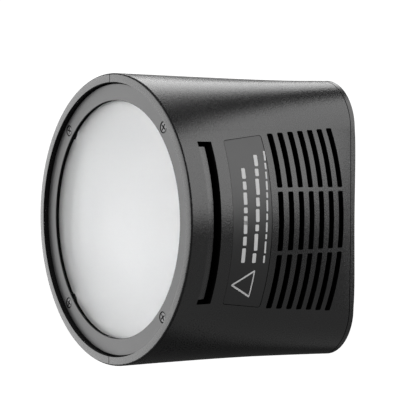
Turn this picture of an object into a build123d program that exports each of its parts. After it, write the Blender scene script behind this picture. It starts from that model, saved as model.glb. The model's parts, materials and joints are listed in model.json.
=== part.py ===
from build123d import *
import os
from math import cos, pi, radians, sin

# Round strobe flash head that clips on a pocket strobe's battery body.
# The lamp axis is Y: the glass looks along -Y and the rear face is the plane y = 0.
# Depths called d are measured from the front rim towards the rear.

os.makedirs("parts", exist_ok=True)

# ---- driving dimensions, mm and degrees ----
LENGTH = 62.0  # front rim to rear face
RIM_R = 38.0
REAR_W, REAR_H = 50.6, 75.4
CORNER_X, CORNER_Z = 12.4, 13.6  # elliptical corners of the rear outline
WALL = 2.3
RIM_ROUND = 0.6
FLANGE = 1.9  # rear plate thickness seen from outside
GROOVE_W, GROOVE_D = 0.24, 0.3  # parting lines between housing pieces

POCKET_R, POCKET_D = RIM_R - WALL, 5.05  # round seat for bezel and glass
BEZEL_D, BEZEL_T = 1.35, 1.0
BEZEL_R, BEZEL_BORE = 35.35, 31.0
SCREW_CIRCLE = 33.3
SCREW_RECESS_R, SCREW_HEAD_R, SCREW_HEAD_T = 1.5, 1.3, 0.5
SHANK_R, THREAD_R, CLEAR_R = 0.95, 0.97, 1.1

GLASS_R, GLASS_T, NOTCH_R = 33.0, 2.0, 2.9
GASKET_OUT, GASKET_IN, GASKET_T = 30.4, 28.4, 0.6
MAGNET_IN, MAGNET_OUT, MAGNET_T, MAGNET_SPAN = 33.2, 35.3, 2.4, 56.0
CARRIER_R, CARRIER_T, POST_R, LUG_R, BOSS_R = 31.8, 2.0, 1.9, 2.9, 2.4

SLOT_D0, SLOT_D1, SLOT_HALF, SLOT_DEEP = 5.9, 10.4, 20.0, 3.2
RAMP_D1, RAMP_HALF, RAMP_FALL = 8.3, 18.7, 0.7
LABEL_D0, LABEL_D1, LABEL_Z0, LABEL_Z1 = 14.5, 28.9, 20.4, 22.0
LABEL_DEEP, LABEL_GAP, LABEL_SINK, LABEL_CORNER = 0.45, 0.14, 0.08, 0.8

VENT_COLUMNS, VENT_FIRST, VENT_PITCH, VENT_W = 7, 32.3, 3.98, 2.0
VENT_MIDDLE, VENT_BAR, VENT_CORNER = 7.6, 1.0, 0.4
VENT_END_FIRST, VENT_END_LAST = 22.4, 24.2
BOW_RATE, BOW_FROM, BOW_Z = 0.085, 13.0, 22.0  # the columns curve with the rim

BOWL_T, BOWL_LIP, BOWL_SCREWS = 0.8, 31.0, 30.0  # reflector wall, lip radius and screw circle
TUBE_RING, TUBE_R, TUBE_D = 15.5, 2.6, 18.0
TUBE_GAP = 50.0  # degrees left open at the bottom of the horseshoe
LEG_END, CAP_END = 27.5, 30.5
SHIELD_D, SHIELD_T = 32.5, 0.8
BOARD_D, BOARD_T, BOARD_W, BOARD_H = 46.0, 1.6, 34.0, 52.0
POST_X, POST_Z = 14.0, 23.0
PLATE_SCREW_X, PLATE_SCREW_Z, PLATE_HEAD_R, BLOCK_HEAD_R = 18.8, 29.8, 2.1, 1.8

BLOCK_W, BLOCK_H, BLOCK_BACK, BLOCK_FLANGE = 24.0, 21.0, 8.0, 16.5  # contact block, from the rear face
BLOCK_SCREW_X = 14.2
PIN_R, PIN_X, PIN_Z, PIN_OUT, PIN_BACK = 2.0, 7.0, 6.0, 9.0, 10.0  # four power pins on a rectangle
PIN_SEAT_R, PIN_TAIL_R, PIN_TIP = 1.8, 1.5, 0.8
SIGNAL_Z, SIGNAL_R, SIGNAL_OUT, SIGNAL_TIP = (-6.0, -2.0, 2.0, 6.0), 0.8, 4.5, 0.5
LATCH_TRAVEL, LATCH_W, LATCH_OUT = 2.0, 8.0, 5.0  # the hooks slide towards the lamp axis
LATCH_IN, LATCH_END = 19.5, 30.5  # slider, along z
STEM_Z0, STEM_Z1, NOSE_Z, NOSE_OUT, NOSE_EDGE = 27.0, 29.5, 31.0, 3.0, 0.4
SLIDER_D0, SLIDER_D1 = 57.7, 59.9
GUIDE_D, GUIDE_Z0, GUIDE_Z1, GUIDE_WALL = 56.0, 11.3, 32.0, 2.2
SPRING_R, SPRING_WIRE, SPRING_Z0, SPRING_TURNS = 0.85, 0.2, 12.6, 6
CLEAR = 0.3


# ---- helpers ----
def box(x0, x1, d0, d1, z0, z1):
    size = (x1 - x0, d1 - d0, z1 - z0)
    centre = Pos((x0 + x1) / 2, (d0 + d1) / 2 - LENGTH, (z0 + z1) / 2)
    return centre * Box(*size)


def slab(d0, d1):
    return box(-60, 60, d0, d1, -60, 60)


def rod(r, d0, d1, x=0.0, z=0.0):
    return Pos(x, (d0 + d1) / 2 - LENGTH, z) * Rot(90, 0, 0) * Cylinder(r, d1 - d0)


def ring(r_in, r_out, d0, d1):
    return rod(r_out, d0, d1) - rod(r_in, d0 - 1, d1 + 1)


def turned(points):
    """A solid of revolution about the lamp axis from (radius, depth) points."""
    outline = Polyline(*[(r, d - LENGTH) for r, d in points], close=True)
    return revolve(make_face(outline), Axis.Y, 360)


def at_diagonals(radius):
    return [(radius * cos(radians(a)), radius * sin(radians(a))) for a in (45, 135, 225, 315)]


def both(x, z):
    return [(x, z), (-x, z), (-x, -z), (x, -z)]


def save(node, shape):
    solids = shape if isinstance(shape, list) else shape.solids()
    whole = Compound(children=list(solids)) if len(solids) > 1 else solids[0]
    export_step(whole, f"parts/{node}.step")


# ---- the outer form: a round rim flowing into a rounded rectangle ----
# The rim's arcs share out as the rear outline's edges do, so that the surfaces meet smoothly.
SIDE_SHARE = (REAR_H / 2 - CORNER_Z) / (CORNER_Z * pi / 2)
TOP_SHARE = (REAR_W / 2 - CORNER_X) / (CORNER_X * pi / 2)
CORNER_ANGLE = 90 / (1 + SIDE_SHARE + TOP_SHARE)
SIDE_ANGLE = CORNER_ANGLE * SIDE_SHARE  # half of the rim arc that flows into each flat side
TOP_ANGLE = CORNER_ANGLE * TOP_SHARE  # half of the rim arc that flows into the top and bottom


def rim_face(inset):
    r = RIM_R - inset
    spans = [2 * SIDE_ANGLE, CORNER_ANGLE, 2 * TOP_ANGLE, CORNER_ANGLE] * 2
    edges, angle = [], -SIDE_ANGLE
    for span in spans:
        edges.append(CenterArc((0, 0), r, angle, span))
        angle += span
    return make_face(edges)


def rear_face(inset):
    x, z = REAR_W / 2 - inset, REAR_H / 2 - inset
    rx, rz = CORNER_X - inset, CORNER_Z - inset
    cx, cz = x - rx, z - rz
    edges = [
        Line((x, -cz), (x, cz)),
        EllipticalCenterArc((cx, cz), rx, rz, 0, arc_size=90),
        Line((cx, z), (-cx, z)),
        EllipticalCenterArc((-cx, cz), rx, rz, 90, arc_size=90),
        Line((-x, cz), (-x, -cz)),
        EllipticalCenterArc((-cx, -cz), rx, rz, 180, arc_size=90),
        Line((-cx, -z), (cx, -z)),
        EllipticalCenterArc((cx, -cz), rx, rz, 270, arc_size=90),
    ]
    return make_face(edges)


def form(inset):
    front = Plane.XZ.offset(LENGTH) * rim_face(inset)
    return loft([front, Plane.XZ * rear_face(inset)], ruled=True)


OUTER = form(0)
GROOVED = form(GROOVE_D)


def side_x(d, z, inset=0.0):
    """Half width of the outer form at depth d and height z, on its side."""
    t, low, high = d / LENGTH, 0.0, 1.0
    flat = REAR_H / 2 - CORNER_Z
    for _ in range(30):
        u = (low + high) / 2
        angle = radians(SIDE_ANGLE * u)
        if (1 - t) * RIM_R * sin(angle) + t * flat * u < abs(z):
            low = u
        else:
            high = u
    return (1 - t) * RIM_R * cos(angle) + t * REAR_W / 2 - inset


# ---- cutters for the sides ----
def bow(d):
    return BOW_RATE * (d - BOW_FROM)


def through_side(face, x0=10.0, x1=50.0):
    return extrude(Plane.YZ.offset(x0) * face, x1 - x0)


def vent_slot(d, z0, z1):
    """One slot whose long sides curve forward away from the middle of the side."""
    zm = (z0 + z1) / 2
    front, rear = [
        [(edge - LENGTH - bow(d) * (z / BOW_Z) ** 2, z) for z in (z0, zm, z1)]
        for edge in (d - VENT_W / 2, d + VENT_W / 2)
    ]
    edges = [ThreePointArc(*front), Line(front[2], rear[2]), ThreePointArc(*rear), Line(rear[0], front[0])]
    slot = through_side(make_face(edges))
    return fillet(slot.edges().filter_by(Axis.X), VENT_CORNER)


def vent_cutter():
    slots = []
    low = VENT_MIDDLE + VENT_BAR
    for column in range(VENT_COLUMNS):
        d = VENT_FIRST + column * VENT_PITCH
        end = VENT_END_FIRST + (VENT_END_LAST - VENT_END_FIRST) * column / (VENT_COLUMNS - 1)
        for z0, z1 in ((-end, -low), (-VENT_MIDDLE, VENT_MIDDLE), (low, end)):
            slots.append(vent_slot(d, z0, z1))
    return slots


def label_outline(gap):
    d0, d1 = LABEL_D0 + gap - LENGTH, LABEL_D1 - gap - LENGTH
    z0, z1 = LABEL_Z0 - gap, LABEL_Z1 - gap
    corner = d1 - bow(LABEL_D1)
    edges = [
        Line((d0, -z0), (d0, z0)),
        Line((d0, z0), (corner, z1)),
        ThreePointArc((corner, z1), (d1, 0), (corner, -z1)),
        Line((corner, -z1), (d0, -z0)),
    ]
    return make_face(edges)


def label_block(gap):
    block = through_side(label_outline(gap))
    return fillet(block.edges().filter_by(Axis.X), LABEL_CORNER - gap)


def slot_cutter():
    """Side slot: a slope leads an accessory's hook back into a deep groove with square ends."""
    faces = []
    for d in (SLOT_D0 - 0.5, RAMP_D1):
        fall = (d - SLOT_D0) * RAMP_FALL / (RAMP_D1 - SLOT_D0)
        edge_x, mid_x = side_x(d, SLOT_HALF, fall), side_x(d, 0, fall)
        arc = ThreePointArc((edge_x, -SLOT_HALF), (mid_x, 0), (edge_x, SLOT_HALF))
        far = Polyline((edge_x, SLOT_HALF), (45, SLOT_HALF), (45, -SLOT_HALF), (edge_x, -SLOT_HALF))
        faces.append(Plane.XZ.offset(LENGTH - d) * make_face([arc] + list(far.edges())))
    slope = loft(faces, ruled=True) & box(0, 60, 0, LENGTH, -RAMP_HALF - 0.05, RAMP_HALF + 0.05)
    groove = box(10, 44, SLOT_D0, SLOT_D1, -SLOT_HALF, SLOT_HALF)
    groove = groove - box(0, 60, 0, RAMP_D1 - 0.05, -RAMP_HALF, RAMP_HALF) - form(SLOT_DEEP)
    return groove + slope


# ---- housing ----
def housing():
    round_rim = OUTER.edges().filter_by_position(Axis.Y, -LENGTH - 0.01, -LENGTH + 0.01)
    body = fillet(round_rim, RIM_ROUND) & slab(-1, LENGTH - FLANGE)
    body = body - (form(WALL) & slab(POCKET_D - 0.4, LENGTH + 1)) - rod(POCKET_R, -1, POCKET_D)
    seam = box(-GROOVE_W / 2, GROOVE_W / 2, -1, LENGTH + 1, -60, 60)
    rear_line = slab(LENGTH - FLANGE - GROOVE_W / 2, LENGTH)
    body = body - (seam - (GROOVED & slab(GROOVE_D, LENGTH + 1))) - (rear_line - GROOVED)
    for x, z in at_diagonals(SCREW_CIRCLE):
        boss = rod(BOSS_R, POCKET_D + CARRIER_T, 14.0, x, z) & form(1.0)
        body = body + boss - rod(THREAD_R, 7.0, 12.5, x, z)
    for x, z in both(PLATE_SCREW_X, PLATE_SCREW_Z):
        boss = rod(BOSS_R, 48.0, LENGTH - FLANGE, x, z) & form(1.0)
        body = body + boss - rod(THREAD_R, 50.0, LENGTH, x, z)
    return body


def right_half(body):
    half = body & box(0, 60, -1, LENGTH, -60, 60)
    pad_form = form(1.0) - form(SLOT_DEEP + 1.0)
    half = half + (pad_form & box(10, 60, SLOT_D0 - 0.2, SLOT_D1 + 1.3, -SLOT_HALF - 1.2, SLOT_HALF + 1.2))
    return half - slot_cutter() - vent_cutter()


def labelled(half):
    recess = label_block(0) - form(LABEL_DEEP)
    return half - recess


BODY = housing()
HALF = right_half(BODY)
save("housing_shell_right", labelled(HALF))
save("housing_shell_left", mirror(HALF, Plane.YZ))
save("label_plate", label_block(LABEL_GAP) & form(LABEL_SINK) - form(LABEL_DEEP))


# ---- bezel, glass and what clamps them ----
def bezel():
    d0, d1 = BEZEL_D, BEZEL_D + BEZEL_T
    edge = 0.12
    profile = [
        (BEZEL_BORE, d0 + edge), (BEZEL_BORE + edge, d0), (BEZEL_R - edge, d0),
        (BEZEL_R, d0 + edge), (BEZEL_R, d1), (BEZEL_BORE, d1),
    ]
    body = turned(profile)
    for x, z in at_diagonals(SCREW_CIRCLE):
        body = body - rod(SCREW_RECESS_R, d0 - 1, d0 + 0.55, x, z) - rod(CLEAR_R, d0, d1 + 1, x, z)
    return body


def cross_screw(head_r, head_t, d_top, length, x, z, turn):
    """Cross-head screw driven from d_top; a negative length drives it towards the front."""
    sign = 1 if length > 0 else -1
    head = rod(head_r, *sorted((d_top, d_top + sign * head_t)), x, z)
    shank = rod(SHANK_R, *sorted((d_top + sign * head_t, d_top + length)), x, z)
    arm, half = head_r * 0.72, head_r * 0.15
    cross = Box(2 * arm, head_t, 2 * half) + Box(2 * half, head_t, 2 * arm)
    place = Pos(x, d_top + sign * 0.05 * head_t - LENGTH, z) * Rot(0, turn, 0)
    return head + shank - place * cross


def glass():
    d0, d1, cut = BEZEL_D + BEZEL_T, BEZEL_D + BEZEL_T + GLASS_T, 0.4
    body = turned([(0, d0), (GLASS_R - cut, d0), (GLASS_R, d0 + cut), (GLASS_R, d1), (0, d1)])
    for x, z in at_diagonals(SCREW_CIRCLE):
        body = body - rod(NOTCH_R, d0 - 1, d1 + 1, x, z)
    return body


GLASS_BACK = BEZEL_D + BEZEL_T + GLASS_T
CARRIER_D = GLASS_BACK + GASKET_T


def magnet(angle):
    arc = ring(MAGNET_IN, MAGNET_OUT, BEZEL_D + BEZEL_T, BEZEL_D + BEZEL_T + MAGNET_T)
    x, z = 50 * cos(radians(MAGNET_SPAN / 2)), 50 * sin(radians(MAGNET_SPAN / 2))
    keep = make_face(Polyline((0, 0), (x, z), (60, 0), (x, -z), close=True))
    wedge = extrude(Plane.XZ * keep, LENGTH + 5)
    return Rot(0, angle, 0) * (arc & wedge)


def carrier():
    d1 = CARRIER_D + CARRIER_T
    body = ring(GASKET_IN, CARRIER_R, CARRIER_D, d1)
    seat = rod(POCKET_R - 0.1, CARRIER_D, d1)
    for x, z in at_diagonals(SCREW_CIRCLE):
        lug = (rod(LUG_R, CARRIER_D, d1, x, z) & seat) + rod(POST_R, BEZEL_D + BEZEL_T, d1, x, z)
        body = body + lug - rod(CLEAR_R, 0, d1 + 1, x, z)
    for x, z in reflector_screw_places():
        body = body - rod(THREAD_R, CARRIER_D + 0.4, d1 + 1, x, z)
    return body


def reflector_screw_places():
    return [(BOWL_SCREWS * cos(radians(a)), BOWL_SCREWS * sin(radians(a))) for a in (90, 210, 330)]


save("bezel_ring", bezel())
save("bezel_screws", [
    cross_screw(SCREW_HEAD_R, SCREW_HEAD_T, BEZEL_D + 0.05, 10.0, x, z, turn).solid()
    for (x, z), turn in zip(at_diagonals(SCREW_CIRCLE), (38, 12, 30, 55))
])
save("front_glass", glass())
save("glass_gasket", ring(GASKET_IN, GASKET_OUT, GLASS_BACK, CARRIER_D))
save("accessory_magnets", [magnet(a).solid() for a in (0, 90, 180, 270)])
save("front_carrier", carrier())

# ---- lamp: reflector, tube and modelling light ----
REFLECTOR_D = CARRIER_D + CARRIER_T
BOWL = [(28.0, REFLECTOR_D), (23.2, 18.2), (10.3, 24.4)]  # mouth, middle and throat of the inner face
LEG_ANGLE = radians(TUBE_GAP / 2)
LEG_X, LEG_Z = TUBE_RING * sin(LEG_ANGLE), -TUBE_RING * cos(LEG_ANGLE)
TRIGGER_Z = TUBE_RING + 3.65


def bowl_profile(grow):
    (r0, d0), (r1, d1), (r2, d2) = BOWL
    middle = (r1 + grow * 0.7, d1 + grow * 0.7 - LENGTH)
    return ThreePointArc((r0 + grow, d0 - LENGTH), middle, (r2, d2 + grow - LENGTH))


def reflector():
    inner, outer = bowl_profile(0), bowl_profile(BOWL_T)
    wall = make_face([inner, Line(inner @ 1, outer @ 1), outer, Line(outer @ 0, inner @ 0)])
    lip = ring(BOWL[0][0] + BOWL_T / 2, BOWL_LIP, REFLECTOR_D, REFLECTOR_D + BOWL_T)
    body = revolve(wall, Axis.Y, 360) + lip
    for x in (LEG_X, -LEG_X):
        body = body - rod(3.3, 15, 30, x, LEG_Z)
    for x, z in reflector_screw_places():
        body = body - rod(CLEAR_R, 5, 12, x, z)
    return body - rod(0.9, 15, 30, 0, TRIGGER_Z)


def horseshoe(wire_r, ring_r, d, gap):
    section = Pos(ring_r, d - LENGTH) * Circle(wire_r)
    arc = revolve(section, Axis.Y, 360 - gap)
    return Rot(0, 90 + gap / 2, 0) * arc


def flash_tube():
    body = horseshoe(TUBE_R, TUBE_RING, TUBE_D, TUBE_GAP)
    for x in (LEG_X, -LEG_X):
        body = body + Pos(x, TUBE_D - LENGTH, LEG_Z) * Sphere(TUBE_R) + rod(TUBE_R, TUBE_D, LEG_END, x, LEG_Z)
    return body


def tube_holder(angle):
    block = box(-2.5, 2.5, TUBE_D + 0.5, 24.6, TUBE_RING - 3.6, TUBE_RING + 3.6)
    block = Rot(0, angle, 0) * block
    ring_clear = horseshoe(TUBE_R + 0.03, TUBE_RING, TUBE_D, 0.01)
    return (block - ring_clear - reflector()).solids().sort_by(Axis.Y)[0]


def trigger_wire():
    body = horseshoe(0.25, TUBE_RING, TUBE_D - TUBE_R - 0.25, 70)
    for angle in (0, 40, 80, 120, -40, -80, -120):
        hoop = Pos(0, TUBE_D - LENGTH, TUBE_RING) * Rot(0, 90, 0) * Torus(TUBE_R + 0.27, 0.25)
        body = body + Rot(0, angle, 0) * hoop
    return body


def led_window():
    wall = ring(8.0, 8.6, 20.5, 22.6)
    return wall + turned([(0, 19.6), (7.9, 19.6), (8.6, 20.3), (8.6, 20.6), (0, 20.6)])


def led_heatsink():
    body = rod(10.0, 23.8, 26.2)
    for k in range(-3, 4):
        fin = box(k * 2.6 - 0.5, k * 2.6 + 0.5, 26.0, 31.0, -9, 9)
        body = body + (fin & rod(9.6, 26.0, 31.0))
    return body - rod(1.3, 20, 35)


def leds():
    places = [(0.0, 0.0)] + [(4.6 * cos(radians(a)), 4.6 * sin(radians(a))) for a in range(0, 360, 60)]
    return [box(x - 0.9, x + 0.9, 22.0, 22.6, z - 0.9, z + 0.9).solid() for x, z in places]


save("reflector", reflector())
save("reflector_screws", [
    cross_screw(1.15, 0.7, REFLECTOR_D + BOWL_T + 0.7, -3.0, x, z, 20).solid()
    for x, z in reflector_screw_places()
])
save("flash_tube", flash_tube())
save("tube_electrodes", [rod(TUBE_R, LEG_END, CAP_END, x, LEG_Z).solid() for x in (LEG_X, -LEG_X)])
save("tube_holders", [tube_holder(a) for a in (-60, 60)])
save("trigger_wire", trigger_wire())
save("led_window", led_window())
save("modelling_led_board", rod(8.6, 22.6, 23.8) - rod(1.3, 23.0, 25))
save("modelling_leds", leds())
save("led_heatsink", led_heatsink())

# ---- electronics behind the lamp ----
LEAD_R = 0.8
SHIELD_CLEAR = 1.0
SWITCH_X, SWITCH_Z = 16.0, 8.0
INSIDE = form(WALL + SHIELD_CLEAR)
LEAD_HOLES = [(LEG_X, LEG_Z), (-LEG_X, LEG_Z), (0, TRIGGER_Z), (0, 0)]


def heat_shield():
    body = INSIDE & slab(SHIELD_D, SHIELD_D + SHIELD_T)
    for x, z in LEAD_HOLES:
        body = body - rod(1.6, 30, 36, x, z)
    return body


def trigger_board():
    body = box(-BOARD_W / 2, BOARD_W / 2, BOARD_D, BOARD_D + BOARD_T, -BOARD_H / 2, BOARD_H / 2)
    for x in (LEG_X, -LEG_X):
        body = body - rod(1.6, 44, 50, x, LEG_Z)
    return body


def posts(d0, d1):
    return [rod(2.0, d0, d1, x, z).solid() for x, z in both(POST_X, POST_Z)]


def transformer():
    core = box(-6, 6, 38, BOARD_D, 13.5, 23.5)
    winding = box(-4.4, 4.4, 36, 38, 14.5, 22.5)
    return core + winding


def resistors():
    body = []
    for x in (-12.5, -10, 10, 12.5):
        for z in (-4, 6):
            body.append((Pos(x, BOARD_D - 1.0 - LENGTH, z) * Cylinder(1.0, 6.0)).solid())
    return body


def lead(points, r=LEAD_R, bend=1.8):
    path = FilletPolyline(*[(x, d - LENGTH, z) for x, d, z in points], radius=bend)
    return sweep(Plane(path @ 0, z_dir=path % 0) * Circle(r), path=path)


def power_lead(side):
    tail = LENGTH - PIN_BACK
    turn = tail - 3.6
    return lead([
        (side * LEG_X, CAP_END, LEG_Z), (side * LEG_X, turn, LEG_Z),
        (side * PIN_X, turn, -PIN_Z), (side * PIN_X, tail, -PIN_Z),
    ])


save("heat_shield", heat_shield())
switch_body = rod(3.0, SHIELD_D - 2.5, SHIELD_D, SWITCH_X, SWITCH_Z)
save("thermal_switch", switch_body + rod(1.2, SHIELD_D - 3.1, SHIELD_D - 2, SWITCH_X, SWITCH_Z))
save("shield_posts", posts(SHIELD_D + SHIELD_T, BOARD_D))
save("board_posts", posts(BOARD_D + BOARD_T, LENGTH - FLANGE))
save("trigger_board", trigger_board())
save("trigger_transformer", transformer())
save("trigger_capacitor", Pos(0, BOARD_D - 4 - LENGTH, -8.2) * Rot(0, 90, 0) * Cylinder(4.0, 13.0))
save("board_resistors", resistors())
save("anode_lead", power_lead(1))
save("cathode_lead", power_lead(-1))
save("trigger_lead", rod(0.5, TUBE_D, 36.0, 0, TRIGGER_Z))
save("led_lead", rod(0.9, 23.8, BOARD_D))

# ---- rear plate, contacts and latches ----

def latch_slot(side):
    z0, z1 = STEM_Z0 - LATCH_TRAVEL - CLEAR, STEM_Z1 + CLEAR
    low, high = sorted((side * z0, side * z1))
    return box(-LATCH_W / 2 - CLEAR, LATCH_W / 2 + CLEAR, LENGTH - 3, LENGTH + 1, low, high)


def rear_plate():
    edge_line = slab(LENGTH - FLANGE, LENGTH - FLANGE + GROOVE_W / 2) - GROOVED
    outer = OUTER & slab(LENGTH - FLANGE, LENGTH)
    rear_edges = outer.edges().filter_by_position(Axis.Y, -0.01, 0.01)
    body = chamfer(rear_edges, 0.35) - edge_line
    rib = (form(WALL + 0.15) - form(WALL + 1.7)) & slab(LENGTH - 5.0, LENGTH - FLANGE)
    for x, z in both(PLATE_SCREW_X, PLATE_SCREW_Z):
        rib = rib - rod(BOSS_R + CLEAR, LENGTH - 6, LENGTH - FLANGE, x, z)
    body = body + rib
    x, z = BLOCK_W / 2 + 0.1, BLOCK_H / 2 + 0.1
    body = body - box(-x, x, LENGTH - 3, LENGTH + 1, -z, z)
    for side in (1, -1):
        body = body - latch_slot(side)
        body = body - rod(BLOCK_HEAD_R + 0.15, LENGTH - 0.9, LENGTH + 1, side * BLOCK_SCREW_X, 0)
        body = body - rod(CLEAR_R, LENGTH - 3, LENGTH + 1, side * BLOCK_SCREW_X, 0)
    for x, z in both(PLATE_SCREW_X, PLATE_SCREW_Z):
        body = body - rod(PLATE_HEAD_R + 0.2, LENGTH - 1.1, LENGTH + 1, x, z)
        body = body - rod(CLEAR_R, LENGTH - 3, LENGTH + 1, x, z)
    return body


def connector_block():
    body = box(-BLOCK_W / 2, BLOCK_W / 2, LENGTH - BLOCK_BACK, LENGTH, -BLOCK_H / 2, BLOCK_H / 2)
    body = body + box(-BLOCK_FLANGE, BLOCK_FLANGE, LENGTH - FLANGE - 2.0, LENGTH - FLANGE, -11, 11)
    for x, z in both(PIN_X, PIN_Z):
        body = body - rod(PIN_SEAT_R + 0.02, 50, LENGTH + 1, x, z)
        body = body - rod(PIN_R + 0.6, LENGTH - 0.8, LENGTH + 1, x, z)
    for z in SIGNAL_Z:
        body = body - rod(SIGNAL_R + 0.02, 50, LENGTH + 1, 0, z)
    for x in (BLOCK_SCREW_X, -BLOCK_SCREW_X):
        body = body - rod(THREAD_R, 50, LENGTH, x, 0)
    return body


def power_pin(x, z):
    """A pin whose thinner seat is moulded into the block; its full radius starts at the rear face."""
    profile = [
        (0, LENGTH - PIN_BACK), (PIN_TAIL_R, LENGTH - PIN_BACK), (PIN_TAIL_R, LENGTH - BLOCK_BACK),
        (PIN_SEAT_R, LENGTH - BLOCK_BACK), (PIN_SEAT_R, LENGTH), (PIN_R, LENGTH),
        (PIN_R, LENGTH + PIN_OUT - PIN_TIP), (PIN_R - PIN_TIP, LENGTH + PIN_OUT), (0, LENGTH + PIN_OUT),
    ]
    return (Pos(x, 0, z) * turned(profile)).solid()


def signal_pin(z):
    profile = [
        (0, LENGTH - PIN_BACK), (SIGNAL_R, LENGTH - PIN_BACK), (SIGNAL_R, LENGTH + SIGNAL_OUT - SIGNAL_TIP),
        (SIGNAL_R - SIGNAL_TIP, LENGTH + SIGNAL_OUT), (0, LENGTH + SIGNAL_OUT),
    ]
    return (Pos(0, 0, z) * turned(profile)).solid()


def latch():
    half = LATCH_W / 2
    slider = box(-half - 1, half + 1, SLIDER_D0, SLIDER_D1, LATCH_IN, LATCH_END)
    stem = box(-half, half, SLIDER_D1 - 0.5, LENGTH + LATCH_OUT, STEM_Z0, STEM_Z1)
    nose_outline = Polyline(
        (NOSE_OUT, STEM_Z1 - 0.5), (NOSE_OUT, NOSE_Z), (NOSE_OUT + NOSE_EDGE, NOSE_Z),
        (LATCH_OUT, STEM_Z1), (LATCH_OUT, STEM_Z1 - 0.5), close=True,
    )
    nose = extrude(Plane.YZ.offset(-half) * make_face(nose_outline), 2 * half)
    return slider + stem + nose


def latch_guide():
    half = LATCH_W / 2 + 1
    z0, z1 = LATCH_IN - LATCH_TRAVEL - CLEAR, LATCH_END + CLEAR
    body = box(-half - GUIDE_WALL, half + GUIDE_WALL, GUIDE_D, LENGTH - FLANGE, GUIDE_Z0, GUIDE_Z1)
    body = body - box(-half - CLEAR, half + CLEAR, SLIDER_D0 - CLEAR, LENGTH, z0, z1)
    return body - box(-1.4, 1.4, SLIDER_D0 - CLEAR, LENGTH, SPRING_Z0 - 0.1, LATCH_IN)


def latch_spring():
    span = LATCH_IN - SPRING_Z0 - 2 * SPRING_WIRE - 0.1
    path = Helix(span / SPRING_TURNS, span, SPRING_R)
    coil = sweep(Plane(path @ 0, z_dir=path % 0) * Circle(SPRING_WIRE), path=path, is_frenet=True)
    return Pos(0, (SLIDER_D0 + SLIDER_D1) / 2 - LENGTH, SPRING_Z0 + SPRING_WIRE + 0.05) * coil


save("rear_plate", rear_plate())
save("connector_block", connector_block())
save("power_pins", [power_pin(x, z) for x, z in both(PIN_X, PIN_Z)])
save("signal_pins", [signal_pin(z) for z in SIGNAL_Z])
save("connector_screws", [
    cross_screw(BLOCK_HEAD_R, 0.8, LENGTH - 0.05, -3.7, x, 0, 15).solid()
    for x in (BLOCK_SCREW_X, -BLOCK_SCREW_X)
])
save("rear_plate_screws", [
    cross_screw(PLATE_HEAD_R, 1.0, LENGTH - 0.1, -10.5, x, z, 25).solid()
    for x, z in both(PLATE_SCREW_X, PLATE_SCREW_Z)
])
LATCH_PIECES = {"latch": latch(), "latch_guide": latch_guide(), "latch_spring": latch_spring()}
for piece, shape in LATCH_PIECES.items():
    save(f"{piece}_upper", shape)
    save(f"{piece}_lower", mirror(shape, Plane.XY))
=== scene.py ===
import json
import math

import bmesh
import bpy
import numpy as np
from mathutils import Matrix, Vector


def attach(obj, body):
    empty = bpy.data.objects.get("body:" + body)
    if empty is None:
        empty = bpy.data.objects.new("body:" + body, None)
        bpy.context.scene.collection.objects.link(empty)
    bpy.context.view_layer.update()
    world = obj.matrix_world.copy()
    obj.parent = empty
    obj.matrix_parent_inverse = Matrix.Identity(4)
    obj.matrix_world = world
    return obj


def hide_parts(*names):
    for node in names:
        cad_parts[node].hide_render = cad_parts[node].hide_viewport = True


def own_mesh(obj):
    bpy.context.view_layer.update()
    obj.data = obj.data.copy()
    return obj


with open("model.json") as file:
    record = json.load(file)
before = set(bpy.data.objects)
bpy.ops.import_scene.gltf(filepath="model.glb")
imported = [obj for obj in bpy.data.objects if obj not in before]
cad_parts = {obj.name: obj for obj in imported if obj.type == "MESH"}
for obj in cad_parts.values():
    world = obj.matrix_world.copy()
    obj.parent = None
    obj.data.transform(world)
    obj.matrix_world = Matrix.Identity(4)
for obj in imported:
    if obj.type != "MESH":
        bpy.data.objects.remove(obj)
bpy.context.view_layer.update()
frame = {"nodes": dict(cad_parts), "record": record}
NODES = frame["nodes"]
RECORD = frame["record"]
BODY_OF = {node: body for body, nodes in RECORD["behaviour"]["bodies"].items() for node in nodes}
MM = 0.001
QUARTER = math.pi / 2

# ---- sizes of the outer form, as in the part ----
LENGTH = 62.0 * MM  # from the front rim, at y = -LENGTH, to the rear face, at y = 0
RIM_R = 38.0 * MM
HALF_W, HALF_H = 25.3 * MM, 37.7 * MM  # of the rear face
CORNER_X, CORNER_Z = 12.4 * MM, 13.6 * MM  # the rear face's corners, which are quarters of an ellipse
LABEL_SINK = 0.08 * MM  # the label film lies this far below the form

# The rear outline's straight runs as shares of its corner, and the arcs of the rim that lead to each.
SIDE_SHARE = (HALF_H - CORNER_Z) / (CORNER_Z * QUARTER)
TOP_SHARE = (HALF_W - CORNER_X) / (CORNER_X * QUARTER)
CORNER_ARC = QUARTER / (1 + SIDE_SHARE + TOP_SHARE)
SIDE_ARC, TOP_ARC = CORNER_ARC * SIDE_SHARE, CORNER_ARC * TOP_SHARE
HALVINGS = 30  # of the interval, when a place on the outline is looked for
TURN_STEP = 1e-3  # between the two points that give the outline's direction

# ---- what counts as the visible skin of the housing ----
MERGE_WITHIN = 0.0005 * MM
ON_FORM = 0.02 * MM  # a point nearer the outer form than this takes its normal
ALONG_FORM = 0.985  # cosine between such a face and the form, at least
FACING_OUT = 0.75  # the same for a face that keeps the polished finish
SEAM_HALF = 0.125 * MM  # half the parting line between the shells
RIM_DEPTH = 0.25 * MM  # the rounded front rim
SLOPE_Y = -49.0 * MM  # the side slot's slope lies in front of this
SLOPE_DEPTH = 0.8 * MM  # in front of it, polished faces lie no deeper than this
SKIN_DEPTH = 0.2 * MM  # behind it, no deeper than this

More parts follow.
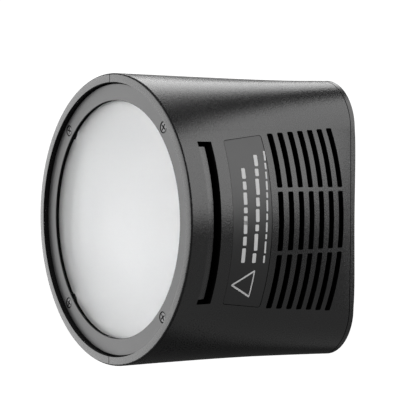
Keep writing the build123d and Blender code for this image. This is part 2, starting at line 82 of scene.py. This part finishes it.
# ---- the front: glass, bezel and screws, with depths behind the front rim ----
GLASS_GAP = 0.1 * MM  # air between the ground glass and the gasket, so that light reaches the gasket
BEZEL_FACE = 1.5 * MM  # faces of the bezel that reach deeper are its walls and recesses, which get painted shade
SCREW_TOP = 1.4 * MM
SCREW_FACE = 1.62 * MM  # faces of a screw that reach deeper are its drive, its sides and its shank, which get painted shade
SCREW_CIRCLE = 33.3 * MM  # radius of the circle that the bezel screws stand on
HEAD_R, HEAD_ROUND = 1.3 * MM, 0.2 * MM
SAME_PLACE = 0.01 * MM  # measures that differ by less count as the same


# ---- materials ----
FINISHES = {}


class Number:
    """A value that varies over the surface. Python's operators on it add Math nodes."""

    def __init__(self, finish, socket):
        self.finish = finish
        self.socket = socket

    def maths(self, operation, *values, **settings):
        inputs = dict(enumerate(values))
        return self.finish.node("ShaderNodeMath", dict(operation=operation, **settings), inputs)

    def __add__(self, other):
        return self.maths("ADD", self, other)

    def __sub__(self, other):
        return self.maths("SUBTRACT", self, other)

    def __rsub__(self, other):
        return self.maths("SUBTRACT", other, self)

    def __mul__(self, other):
        return self.maths("MULTIPLY", self, other)

    __radd__ = __add__
    __rmul__ = __mul__

    def clamped(self):
        return self.maths("MULTIPLY", self, 1.0, use_clamp=True)


class Finish:
    """One surface finish: a Principled shader and the nodes that feed it. Sizes are in millimetres."""

    def __init__(self, slot, metallic=0.0, ior=1.5, **even):
        FINISHES[slot] = self
        self.material = bpy.data.materials.new(slot)
        self.material.use_nodes = True
        self.tree = self.material.node_tree
        self.shader = self.tree.nodes["Principled BSDF"]
        self.shader.inputs["Metallic"].default_value = metallic
        self.shader.inputs["IOR"].default_value = ior
        for socket, value in even.items():
            self.shader.inputs[socket.replace("_", " ")].default_value = value
        self.place = self.node("ShaderNodeTexCoord", out="Object")

    def plug(self, value, socket):
        if isinstance(value, Number):
            self.tree.links.new(value.socket, socket)
        else:
            socket.default_value = value

    def node(self, kind, settings=None, inputs=None, out=0):
        """Adds a node, its settings before its sockets, and hands back one of its outputs."""
        made = self.tree.nodes.new(kind)
        for key, value in (settings or {}).items():
            setattr(made, key, value)
        for key, value in (inputs or {}).items():
            self.plug(value, made.inputs[key])
        return Number(self, made.outputs[out])

    def noise(self, size, detail=2.0, stretch=(1.0, 1.0, 1.0), roughness=0.55):
        """Mottling whose features are about that size."""
        place = self.place
        if stretch != (1.0, 1.0, 1.0):
            place = self.node("ShaderNodeMapping", None, {"Vector": self.place, "Scale": stretch})
        inputs = {"Vector": place, "Scale": 1.0 / (size * MM), "Detail": detail, "Roughness": roughness}
        return self.node("ShaderNodeTexNoise", None, inputs)

    def spots(self, size):
        """Distance from the nearest of many scattered points that are about that far apart."""
        inputs = {"Vector": self.place, "Scale": 1.0 / (size * MM)}
        return self.node("ShaderNodeTexVoronoi", None, inputs)

    def blend(self, factor, first, second):
        """First colour where the factor is 0, second where it is 1."""
        first, second = [c if isinstance(c, Number) else (*c, 1.0) for c in (first, second)]
        inputs = {0: factor, 6: first, 7: second}
        return self.node("ShaderNodeMix", {"data_type": "RGBA"}, inputs, out=2)

    def bump(self, height, depth):
        """Relief of that depth."""
        inputs = {"Strength": 1.0, "Distance": depth * MM, "Height": height}
        return self.node("ShaderNodeBump", None, inputs)

    def surface(self, **inputs):
        for socket, value in inputs.items():
            self.plug(value, self.shader.inputs[socket.replace("_", " ")])


def moulded(slot, dark, light, grain, depth, rough, spread=0.06, **even):
    """Moulded plastic: sparked grain, slow drift of gloss and colour, and faint rubbed patches."""
    f = Finish(slot, **even)
    fine = f.noise(grain, detail=3.0)
    drift = f.noise(size=14.0, detail=3.0)
    rubbed = (f.noise(size=5.0, detail=4.0, roughness=0.7) - 0.58).clamped() * 2.0
    f.surface(
        Base_Color=f.blend((drift * 0.7 + fine * 0.3).clamped(), dark, light),
        Roughness=rough + (drift - 0.5) * spread + (fine - 0.5) * spread * 1.5 - rubbed * 0.12,
        Normal=f.bump(fine, depth),
    )


def metal(slot, dark, light, rough, grain=0.4, depth=0.002):
    """Metal with fine marks and a slight tarnish."""
    f = Finish(slot, metallic=1.0)
    marks = f.noise(grain, detail=3.0)
    tarnish = f.noise(size=3.0, detail=4.0)
    f.surface(
        Base_Color=f.blend(tarnish, dark, light),
        Roughness=rough + (marks - 0.5) * 0.12 + (tarnish - 0.5) * 0.1,
        Normal=f.bump(marks, depth),
    )


def insulation(slot, dark, light):
    """Smooth extruded sleeve on a wire."""
    f = Finish(slot)
    drift = f.noise(size=2.0)
    drawn = f.noise(size=0.3, stretch=(1.0, 0.1, 1.0))
    f.surface(
        Base_Color=f.blend(drift, dark, light),
        Roughness=0.35 + (drift - 0.5) * 0.1,
        Normal=f.bump(drawn, 0.004),
    )


moulded(
    "housing_plastic", (0.0125, 0.0125, 0.0128), (0.0155, 0.0155, 0.016),
    grain=0.34, depth=0.035, rough=0.27,
)
moulded(
    "bezel_plastic", (0.017, 0.017, 0.0175), (0.021, 0.021, 0.0215),
    grain=0.3, depth=0.006, rough=0.4,
)
moulded(
    "inner_plastic", (0.008, 0.008, 0.0082), (0.012, 0.012, 0.0122),
    grain=0.35, depth=0.008, rough=0.5,
)
# Painted shade: a near-black, barely glossy finish for recesses, the walls of vents and grooves, the
# shell seam, the inside and the flat rear
moulded(
    "painted_recess_shade", (0.003, 0.003, 0.003), (0.005, 0.005, 0.005),
    grain=0.3, depth=0.01, rough=0.75, Specular_IOR_Level=0.08,
)
moulded(
    "latch_plastic", (0.012, 0.012, 0.0125), (0.016, 0.016, 0.0165),
    grain=0.25, depth=0.004, rough=0.32,
)
moulded(
    "label_film", (0.0135, 0.0135, 0.014), (0.016, 0.016, 0.0165),
    grain=0.16, depth=0.002, rough=0.38, spread=0.03,
)
moulded(
    "label_ink", (0.88, 0.88, 0.88), (0.94, 0.94, 0.94),
    grain=0.12, depth=0.002, rough=0.6, spread=0.03,
)
moulded(
    "silicone", (0.27, 0.27, 0.27), (0.33, 0.33, 0.32),
    grain=0.3, depth=0.004, rough=0.6,
)
moulded(
    "clear_plastic", (0.9, 0.9, 0.92), (0.95, 0.95, 0.96),
    grain=0.5, depth=0.002, rough=0.12, ior=1.49, Transmission_Weight=0.9,
)
moulded(
    "white_ceramic", (0.72, 0.71, 0.67), (0.8, 0.79, 0.76),
    grain=0.2, depth=0.005, rough=0.5,
)
moulded(
    "white_board", (0.7, 0.7, 0.68), (0.8, 0.8, 0.78),
    grain=0.3, depth=0.002, rough=0.45,
)
moulded(
    "capacitor_film", (0.32, 0.1, 0.02), (0.4, 0.14, 0.03),
    grain=0.8, depth=0.003, rough=0.25,
)
metal("black_steel", (0.055, 0.055, 0.057), (0.1, 0.1, 0.1), rough=0.3, grain=0.15)
metal("zinc_steel", (0.5, 0.5, 0.48), (0.62, 0.62, 0.6), rough=0.32, grain=0.2)
metal("spring_steel", (0.42, 0.42, 0.42), (0.58, 0.57, 0.55), rough=0.28, grain=0.1)
metal("nickel_plate", (0.55, 0.53, 0.48), (0.68, 0.65, 0.6), rough=0.2)
metal("bright_aluminium", (0.86, 0.86, 0.86), (0.92, 0.92, 0.92), rough=0.4, grain=0.5, depth=0.003)
metal("brass_posts", (0.6, 0.42, 0.18), (0.72, 0.52, 0.24), rough=0.3)
metal("gold_contact", (0.85, 0.6, 0.22), (0.95, 0.7, 0.3), rough=0.18, grain=0.12, depth=0.001)
insulation("red_lead", (0.35, 0.012, 0.01), (0.45, 0.02, 0.014))
insulation("black_lead", (0.012, 0.012, 0.012), (0.02, 0.02, 0.02))
insulation("white_lead", (0.6, 0.6, 0.58), (0.7, 0.7, 0.68))


def frosted_glass():
    """Borosilicate disc ground on its faces: light passes, but nothing behind it shows sharply."""
    f = Finish("frosted_glass", ior=1.47, Transmission_Weight=0.9)
    ground = f.noise(size=0.12, detail=3.0)
    drift = f.noise(size=9.0)
    f.surface(
        Base_Color=f.blend(drift, (0.955, 0.96, 0.965), (0.975, 0.98, 0.985)),
        Roughness=0.62 + (ground - 0.5) * 0.1,
        Normal=f.bump(ground, 0.003),
    )


def quartz_glass():
    """Clear tube of the flash lamp, with a faint grey deposit."""
    f = Finish("quartz_glass", ior=1.46, Transmission_Weight=0.85)
    cloud = f.noise(size=4.0, detail=3.0)
    f.surface(
        Base_Color=f.blend(cloud, (0.86, 0.87, 0.88), (0.95, 0.95, 0.96)),
        Roughness=0.06 + cloud * 0.08,
        Normal=f.bump(f.noise(size=1.5), 0.004),
    )


def green_board():
    """Laminate board under solder mask, with tracks just showing and tinned spots."""
    f = Finish("green_board", Coat_Weight=0.3)
    tracks = f.node("ShaderNodeTexBrick", None, {"Vector": f.place, "Scale": 320.0}, out="Fac")
    weave = f.noise(size=0.5)
    pads = (0.22 - f.spots(size=2.4)).clamped() * 8.0
    mask = f.blend(tracks.clamped(), (0.012, 0.09, 0.035), (0.02, 0.14, 0.055))
    f.surface(
        Base_Color=f.blend(pads.clamped(), mask, (0.62, 0.6, 0.56)),
        Roughness=0.32 + weave * 0.12,
        Normal=f.bump(tracks * 0.6 + weave * 0.4, 0.02),
    )


def led_phosphor():
    """Yellow phosphor over each chip."""
    f = Finish("led_phosphor")
    grains = f.noise(size=0.1, detail=3.0)
    f.surface(
        Base_Color=f.blend(grains, (0.78, 0.6, 0.12), (0.9, 0.76, 0.3)),
        Roughness=0.5 + (grains - 0.5) * 0.2,
        Normal=f.bump(grains, 0.01),
    )


frosted_glass()
quartz_glass()
green_board()
led_phosphor()


# ---- copies of CAD pieces with merged points and true curvature ----
def outline(turn, depth):
    """Points of the outer form's first quarter, and the way that the form runs rearwards there.

    Turn runs from 0 to 3 over the side, corner and top, and depth from 0 at the rim to 1 at the rear.
    """
    side = np.clip(turn, 0, 1)
    corner = np.clip(turn - 1, 0, 1)
    top = np.clip(turn - 2, 0, 1)
    angle = side * SIDE_ARC + corner * CORNER_ARC + top * TOP_ARC
    front = RIM_R * np.array([np.cos(angle), np.sin(angle)])
    straight = HALF_W - CORNER_X
    rear_x = straight * (1 - top) + CORNER_X * np.cos(corner * QUARTER)
    rear_z = (HALF_H - CORNER_Z) * side + CORNER_Z * np.sin(corner * QUARTER)
    rear = np.array([rear_x, rear_z])
    return front * (1 - depth) + rear * depth, rear - front


def form_normals(points):
    """Normal of the outer form beside each point, and how far the point is from the form."""
    x, z = np.abs(points[:, 0]), np.abs(points[:, 2])
    depth = np.clip(points[:, 1] / LENGTH + 1.0, 0, 1)
    low, high = np.zeros(len(x)), np.full(len(x), 3.0)
    for _ in range(HALVINGS):
        turn = (low + high) / 2
        at, _along = outline(turn, depth)
        short = at[0] * z > at[1] * x
        low, high = np.where(short, turn, low), np.where(short, high, turn)
    at, along = outline(turn, depth)
    ahead, _along = outline(np.minimum(turn + TURN_STEP, 3), depth)
    behind, _along = outline(np.maximum(turn - TURN_STEP, 0), depth)
    dx, dz = ahead - behind
    normal = np.array([dz * LENGTH, dx * along[1] - dz * along[0], -dx * LENGTH])
    normal /= np.linalg.norm(normal, axis=0)
    normal[0] *= np.where(points[:, 0] < 0, -1, 1)
    normal[2] *= np.where(points[:, 2] < 0, -1, 1)
    return normal.T, np.hypot(at[0] - x, at[1] - z)


def merged(node, piece):
    """A copy of a CAD node with its triangles joined, so that it can be shaded smoothly."""
    work = bmesh.new()
    work.from_mesh(NODES[node].data)
    bmesh.ops.remove_doubles(work, verts=work.verts, dist=MERGE_WITHIN)
    mesh = bpy.data.meshes.new(piece)
    work.to_mesh(mesh)
    work.free()
    mesh.materials.clear()
    for left_over in ("custom_normal", "sharp_edge", "sharp_face"):
        if left_over in mesh.attributes:
            mesh.attributes.remove(mesh.attributes[left_over])
    return mesh


def placed(mesh, piece, slot, body):
    """Puts a finished mesh in the scene with its material slot and the body it rides on."""
    made = bpy.data.objects.new(piece, mesh)
    bpy.context.scene.collection.objects.link(made)
    mesh.materials.append(FINISHES[slot].material)
    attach(made, body)
    return made


def smooth_copy(node, piece, slot, sharp=32.0):
    """A piece that stands for a CAD node, smooth but for edges sharper than an angle in degrees."""
    mesh = merged(node, piece)
    mesh.shade_smooth()
    mesh.set_sharp_from_angle(angle=math.radians(sharp))
    made = placed(mesh, piece, slot, BODY_OF[node])
    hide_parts(node)
    return made


def shade_deep_faces(mesh, normals, gap):
    """Paints shade on all but the outer skin: the inside, the walls of vents and grooves, and the flat
    rear get a near-black, barely glossy finish.
    """
    mesh.materials.append(FINISHES["painted_recess_shade"].material)
    for face in mesh.polygons:
        corners = list(face.vertices)
        faces_out = Vector(normals[corners].mean(axis=0)).dot(face.normal) > FACING_OUT
        in_front = min(mesh.vertices[c].co.y for c in corners) < RIM_DEPTH - LENGTH
        in_seam = all(abs(mesh.vertices[c].co.x) < SEAM_HALF for c in corners)
        in_slope = max(mesh.vertices[c].co.y for c in corners) < SLOPE_Y
        shallow = gap[corners].max() < (SLOPE_DEPTH if in_slope else SKIN_DEPTH)
        if in_seam or not (in_front or faces_out and shallow):
            face.material_index = 1


def formed_copy(node, piece, slot):
    """A housing piece whose outside carries the true normals of the outer form."""
    made = smooth_copy(node, piece, slot, sharp=26.0)
    mesh = made.data
    corner_points = np.zeros(len(mesh.loops), np.int32)
    mesh.loops.foreach_get("vertex_index", corner_points)
    points = np.zeros(len(mesh.vertices) * 3)
    mesh.vertices.foreach_get("co", points)
    points = points.reshape(-1, 3)
    normals, gap = form_normals(points)
    facing = np.zeros(len(mesh.polygons) * 3)
    mesh.polygons.foreach_get("normal", facing)
    facing = np.repeat(facing.reshape(-1, 3), 3, axis=0)
    corner_normals = normals[corner_points]
    outside = (gap[corner_points] < ON_FORM) & ((corner_normals * facing).sum(axis=1) > ALONG_FORM)
    whole = outside.reshape(-1, 3).all(axis=1).repeat(3)
    corner_normals[~whole] = 0.0
    mesh.normals_split_custom_set(corner_normals.tolist())
    shade_deep_faces(mesh, normals, gap)
    return made


def clear_of_glass(gasket):
    """Moves the gasket's front face back, so that it doesn't lie in the glass's own face."""
    touching = min(vert.co.y for vert in gasket.data.vertices)
    for vert in gasket.data.vertices:
        if vert.co.y < touching + GLASS_GAP / 2:
            vert.co.y = touching + GLASS_GAP


def shade_below(made, level):
    """Paints shade on the faces that lie deeper than a depth behind the rim, with a near-black, barely
    glossy finish.
    """
    made.data.materials.append(FINISHES["painted_recess_shade"].material)
    for face in made.data.polygons:
        if max(made.data.vertices[c].co.y for c in face.vertices) > level - LENGTH:
            face.material_index = 1


def round_heads(made):
    """Rounds the outer edge of the bezel screws' heads."""
    work = bmesh.new()
    work.from_mesh(made.data)
    middle = SCREW_CIRCLE / math.sqrt(2)

    def on_edge(vert):
        reach = math.hypot(abs(vert.co.x) - middle, abs(vert.co.z) - middle)
        return abs(vert.co.y - SCREW_TOP + LENGTH) < SAME_PLACE and abs(reach - HEAD_R) < SAME_PLACE

    outer = [e for e in work.edges if all(on_edge(v) for v in e.verts) and e.calc_face_angle(0.0) > 1.0]
    bmesh.ops.bevel(
        work, geom=outer, offset=HEAD_ROUND, affect="EDGES", segments=3, profile=0.5, material=-1
    )
    work.to_mesh(made.data)
    work.free()


def latch_spring(side):
    """A copy of a latch spring, with a mesh of its own."""
    node = "latch_spring_" + side
    spring = smooth_copy(node, "spring_" + side, "spring_steel", sharp=60.0)
    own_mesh(spring)


formed_copy("housing_shell_right", "shell_right", "housing_plastic")
formed_copy("housing_shell_left", "shell_left", "housing_plastic")
formed_copy("rear_plate", "battery_side_plate", "housing_plastic")
front_bezel = smooth_copy("bezel_ring", "front_bezel", "bezel_plastic")
front_screws = smooth_copy("bezel_screws", "front_screws", "black_steel")
smooth_copy("front_glass", "diffusing_glass", "frosted_glass")
formed_copy("label_plate", "side_label", "label_film")
clear_of_glass(smooth_copy("glass_gasket", "gasket", "silicone"))
smooth_copy("front_carrier", "carrier_ring", "inner_plastic")
smooth_copy("accessory_magnets", "curved_magnets", "nickel_plate")
smooth_copy("reflector", "reflector_bowl", "bright_aluminium", sharp=40.0)
smooth_copy("flash_tube", "horseshoe_tube", "quartz_glass", sharp=60.0)
smooth_copy("led_window", "lamp_window", "clear_plastic")
smooth_copy("connector_block", "contact_block", "inner_plastic")
smooth_copy("power_pins", "contact_pins", "gold_contact")
smooth_copy("signal_pins", "small_pins", "gold_contact")
smooth_copy("connector_screws", "block_screws", "black_steel")
smooth_copy("rear_plate_screws", "plate_screws", "black_steel")
smooth_copy("latch_upper", "hook_upper", "latch_plastic")
smooth_copy("latch_lower", "hook_lower", "latch_plastic")
latch_spring("upper")
latch_spring("lower")
round_heads(front_screws)
shade_below(front_bezel, BEZEL_FACE)
shade_below(front_screws, SCREW_FACE)

# ---- the label's print: plain bars and a plain triangle, a little above the film ----
# A figure is drawn flat, with its depth behind the rim as x and its height as y, both in millimetres.
PRINT_LIFT = 0.03 * MM  # of a figure above the film
PRINT_LAYERS = 0.05 * MM  # between a figure's two layers
END_ROUND = 0.22  # of a bar's width
TRIANGLE = ((15.7, -15.6), (23.7, -12.0), (23.1, -19.2))
TRIANGLE_STROKE = 0.42
TRIANGLE_ROUND = TRIANGLE_STROKE * 1.2
TRIANGLE_CUTS = 6  # along each side, so that it can bend with the label
# A row of bars: depth and lean, width, height of its lower end, lengths of the bars, gap between them.
BAR_ROWS = (
    (18.8, 0.024, 1.3, -10.0, (3.6, 2.2, 4.4, 1.4, 3.0, 2.0, 2.6), 0.72),
    (22.7, 0.062, 1.3, -10.2, (2.4, 4.2, 1.6, 3.2, 2.2, 4.0, 1.8, 2.8), 0.7),
    (26.4, 0.045, 0.6, -10.3, (1.8, 3.0, 1.2, 2.4, 1.6, 2.8, 1.4, 2.2, 1.8, 1.6, 2.4), 0.6),
)


def side_x(depth, z):
    """Half width of the outer form at a depth behind the rim in millimetres and a height in metres."""
    share = depth * MM / LENGTH
    low, high = 0.0, 1.0
    for _ in range(HALVINGS):
        turn = (low + high) / 2
        at, _along = outline(np.array(turn), share)
        if at[1] < abs(z):
            low = turn
        else:
            high = turn
    return float(outline(np.array(low), share)[0][0])


def laid_on_side(work):
    """Lays a flat figure on the label and closes it with a second layer."""
    for vert in work.verts:
        depth, z = vert.co.x, vert.co.y * MM
        x = side_x(depth, z) - LABEL_SINK + PRINT_LIFT
        vert.co = (x, depth * MM - LENGTH, z)
    # The faces still have the flat figure's normals, so the second layer lies along the label's height.
    bmesh.ops.solidify(work, geom=list(work.faces), thickness=PRINT_LAYERS)
    bmesh.ops.recalc_face_normals(work, faces=work.faces)


def flat_bar(depth, width, z, length):
    """A bar that stands on a height, with rounded corners."""
    work = bmesh.new()
    bmesh.ops.create_grid(work, x_segments=1, y_segments=max(2, round(length)), size=0.5)
    bmesh.ops.scale(work, verts=work.verts, vec=(width, length, 1.0))
    bmesh.ops.translate(work, verts=work.verts, vec=(depth, z + length / 2, 0.0))
    ends = [v for v in work.verts if len(v.link_edges) == 2]
    bmesh.ops.bevel(
        work, geom=ends, offset=width * END_ROUND,
        affect="VERTICES", segments=3, profile=0.5, material=-1,
    )
    return work


def flat_triangle():
    """The outline of a triangle, as one band of even width."""
    work = bmesh.new()
    work.faces.new([work.verts.new((depth, z, 0.0)) for depth, z in TRIANGLE])
    bmesh.ops.bevel(
        work, geom=list(work.verts), offset=TRIANGLE_ROUND,
        affect="VERTICES", segments=3, profile=0.5, material=-1,
    )
    sides = [e for e in work.edges if e.calc_length() > 3 * TRIANGLE_STROKE]
    bmesh.ops.subdivide_edges(work, edges=sides, cuts=TRIANGLE_CUTS)
    bmesh.ops.inset_region(
        work, faces=list(work.faces), thickness=TRIANGLE_STROKE, use_boundary=True, use_even_offset=True
    )
    middle = max(work.faces, key=lambda f: len(f.verts))
    bmesh.ops.delete(work, geom=[middle], context="FACES_ONLY")
    return work


def bars_in_row(depth, lean, width, z_start, lengths, gap):
    """Bars end to end; the row leans rearwards as it rises."""
    row, z = [], z_start
    for length in lengths:
        row.append(flat_bar(depth + lean * (z + length / 2 - z_start), width, z, length))
        z += length + gap
    return row


def print_label():
    """Joins the figures into one piece that rides with the label."""
    figures = [flat_triangle()]
    for row in BAR_ROWS:
        figures += bars_in_row(*row)
    mesh = bpy.data.meshes.new("label_print")
    joined = bmesh.new()
    for figure in figures:
        laid_on_side(figure)
        figure.to_mesh(mesh)
        figure.free()
        joined.from_mesh(mesh)
    joined.to_mesh(mesh)
    joined.free()
    placed(mesh, "label_print", "label_ink", BODY_OF["label_plate"])


print_label()

# ---- pieces that stay as the CAD made them, with a finish each ----
INSIDE = {
    "anode_lead": "red_lead",
    "board_posts": "brass_posts",
    "board_resistors": "white_ceramic",
    "cathode_lead": "black_lead",
    "heat_shield": "bright_aluminium",
    "latch_guide_lower": "inner_plastic",
    "latch_guide_upper": "inner_plastic",
    "led_heatsink": "bright_aluminium",
    "led_lead": "white_lead",
    "modelling_led_board": "white_board",
    "modelling_leds": "led_phosphor",
    "reflector_screws": "zinc_steel",
    "shield_posts": "brass_posts",
    "thermal_switch": "zinc_steel",
    "trigger_board": "green_board",
    "trigger_capacitor": "capacitor_film",
    "trigger_lead": "white_lead",
    "trigger_transformer": "inner_plastic",
    "trigger_wire": "nickel_plate",
    "tube_electrodes": "nickel_plate",
    "tube_holders": "white_ceramic",
}
for node, slot in INSIDE.items():
    mesh = NODES[node].data
    mesh.materials.clear()
    mesh.materials.append(FINISHES[slot].material)

# ---- light, floor and camera ----
HEAD_MIDDLE = Vector((0.0, -0.031, 0.0))
AMBIENT, BACKDROP = 0.06, 1.1  # strength of the white surroundings, as light and as seen
FLOOR_HALF, FLOOR_Z = 6.0, -0.3
CAMERA_AT = Vector((0.3304, -0.26013, 0.0135))
LOOK_AT = Vector((0.0005, -0.0311, 0.00267))
CAMERA_ROLL = 0.25  # degrees
LENS, SENSOR = 128.06, 36.0  # millimetres

scene = bpy.context.scene
scene.view_settings.view_transform = "Standard"


def panel(name, side, away, width, height, radiance):
    """A soft box that looks at the middle of the head from the given side."""
    data = bpy.data.lights.new(name, "AREA")
    data.shape = "RECTANGLE"
    data.size, data.size_y = width, height
    data.energy = radiance * math.pi * width * height
    lamp = bpy.data.objects.new(name, data)
    scene.collection.objects.link(lamp)
    direction = Vector(side).normalized()
    lamp.location = HEAD_MIDDLE + direction * away
    lamp.rotation_euler = direction.to_track_quat("Z", "Y").to_euler()


def studio_world():
    """White surroundings: faint as a light, bright as a backdrop."""
    world = bpy.data.worlds.new("studio")
    scene.world = world
    world.use_nodes = True
    sky = world.node_tree
    white = sky.nodes["Background"]
    white.inputs["Color"].default_value = (1.0, 1.0, 1.0, 1.0)
    rays = sky.nodes.new("ShaderNodeLightPath")
    level = sky.nodes.new("ShaderNodeMix")
    level.data_type = "FLOAT"
    level.inputs[2].default_value = AMBIENT
    level.inputs[3].default_value = BACKDROP
    sky.links.new(rays.outputs["Is Camera Ray"], level.inputs[0])
    sky.links.new(level.outputs[0], white.inputs["Strength"])


def pale_floor():
    """A wide pale floor well below the head, which lights nothing and is mirrored in nothing."""
    work = bmesh.new()
    bmesh.ops.create_grid(work, x_segments=1, y_segments=1, size=FLOOR_HALF)
    bmesh.ops.translate(work, verts=work.verts, vec=(0.0, 0.0, FLOOR_Z))
    mesh = bpy.data.meshes.new("studio_floor")
    work.to_mesh(mesh)
    work.free()
    floor = bpy.data.objects.new("studio_floor", mesh)
    scene.collection.objects.link(floor)
    paint = bpy.data.materials.new("pale_floor")
    paint.use_nodes = True
    shader = paint.node_tree.nodes["Principled BSDF"]
    shader.inputs["Base Color"].default_value = (0.8, 0.8, 0.8, 1.0)
    shader.inputs["Emission Color"].default_value = (1.0, 1.0, 1.0, 1.0)
    shader.inputs["Emission Strength"].default_value = 1.0
    mesh.materials.append(paint)
    floor.visible_glossy = False
    floor.visible_diffuse = False
    floor.visible_transmission = False


def studio_camera():
    """The main view, from the front right and level with the head."""
    optics = bpy.data.cameras.new("camera")
    optics.lens = LENS
    optics.sensor_width = SENSOR
    camera = bpy.data.objects.new("camera", optics)
    scene.collection.objects.link(camera)
    camera.location = CAMERA_AT
    camera.rotation_euler = (LOOK_AT - CAMERA_AT).to_track_quat("-Z", "Y").to_euler()
    camera.rotation_euler.rotate_axis("Z", math.radians(CAMERA_ROLL))
    scene.camera = camera


panel("front_softbox", side=(-0.83, -0.56, 0.0), away=0.7, width=0.74, height=0.74, radiance=3.1)
panel("front_fill", side=(0.0, -1.0, 0.2), away=0.9, width=0.9, height=0.9, radiance=3.7)
panel("side_softbox", side=(0.46, 0.776, 0.431), away=0.8, width=0.8, height=0.74, radiance=2.8)
panel("top_strip", side=(-0.55, 0.49, 0.676), away=0.8, width=0.54, height=0.4, radiance=3.0)
panel("floor_bounce", side=(0.4, 0.7, -0.6), away=0.8, width=1.2, height=0.8, radiance=0.27)
studio_world()
pale_floor()
studio_camera()
